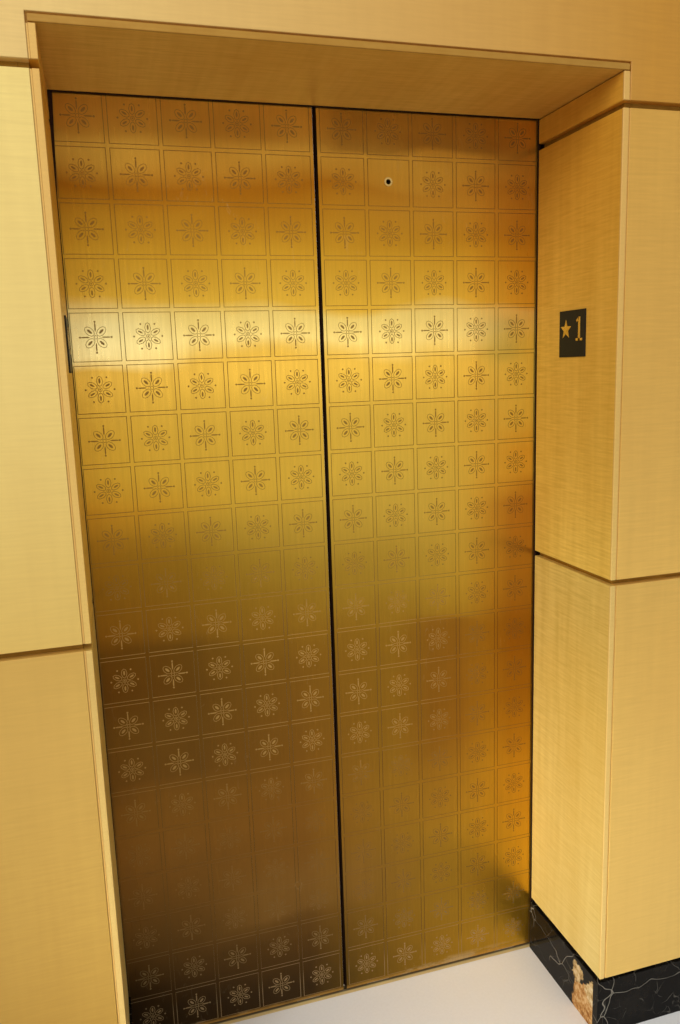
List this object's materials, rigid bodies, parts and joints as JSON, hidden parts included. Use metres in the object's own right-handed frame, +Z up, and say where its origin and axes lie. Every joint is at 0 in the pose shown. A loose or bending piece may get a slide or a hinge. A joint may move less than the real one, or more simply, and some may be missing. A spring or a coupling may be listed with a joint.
{
  "type": "elevator landing door",
  "caption": "Landing entrance of a passenger lift: centre-opening brass leaves with their hanger gear, in a deep recess lined with pale wood on a dark stone plinth.",
  "frame": {"origin": "middle of the clear opening on the sill's top face, in the plane of the shut leaves' lobby faces, at the finished floor level", "axes": "+X to the right as seen from the lobby, +Y from the lobby into the shaft, +Z up"},
  "size_m": [2.3026, 0.405, 2.478],
  "materials": {
    "masonry": "matte",
    "dark_timber": "matte",
    "veneer": "satin",
    "marble": "polished",
    "black_plate": "satin",
    "sill_bronze": "satin",
    "leaf_brass": "satin",
    "back_steel": "satin",
    "black_rubber": "matte",
    "guide_plastic": "satin",
    "plated_steel": "satin",
    "header_steel": "satin",
    "track_steel": "satin",
    "lock_housing": "satin"
  },
  "bodies": {
    "surround": {"end_stops": "header_steel", "fascia": "veneer", "head_grounds": "dark_timber", "header": "header_steel", "left_facing_lower": "veneer", "left_facing_middle": "veneer", "left_floor_plate": "black_plate", "left_grounds": "dark_timber", "left_pier": "masonry", "left_plinth": "marble", "left_reveal_lower": "veneer", "left_reveal_middle": "veneer", "left_reveal_upper": "veneer", "lintel": "masonry", "lock_box": "lock_housing", "relating_cable": "track_steel", "right_facing_lower": "veneer", "right_facing_middle": "veneer", "right_floor_plate": "black_plate", "right_grounds": "dark_timber", "right_pier": "masonry", "right_plinth": "marble", "right_reveal_lower": "veneer", "right_reveal_middle": "veneer", "right_reveal_upper": "veneer", "sheaves": "guide_plastic", "sill": "sill_bronze", "sill_ties": "sill_bronze", "soffit": "veneer", "track": "track_steel"},
    "left_leaf": {"left_leaf_face": "leaf_brass", "left_leaf_core": "back_steel", "left_stiffeners": "back_steel", "left_meeting_seal": "black_rubber", "left_gibs": "guide_plastic", "left_rollers": "guide_plastic", "left_hanger": "plated_steel"},
    "right_leaf": {"right_leaf_face": "leaf_brass", "right_leaf_core": "back_steel", "right_stiffeners": "back_steel", "right_meeting_seal": "black_rubber", "right_gibs": "guide_plastic", "right_rollers": "guide_plastic", "right_hanger": "plated_steel", "latch": "plated_steel", "key_sleeve": "leaf_brass"}
  },
  "joints": [
    {"name": "left_slide", "type": "slide", "parent": "surround", "child": "left_leaf", "axis": [-1, 0, 0], "range_m": [0, 0.5289]},
    {"name": "right_slide", "type": "slide", "parent": "surround", "child": "right_leaf", "axis": [1, 0, 0], "range_m": [0, 0.5289]}
  ],
  "couplings": [
    {"joint": "left_slide", "follows": "right_slide", "ratio": 1}
  ]
}
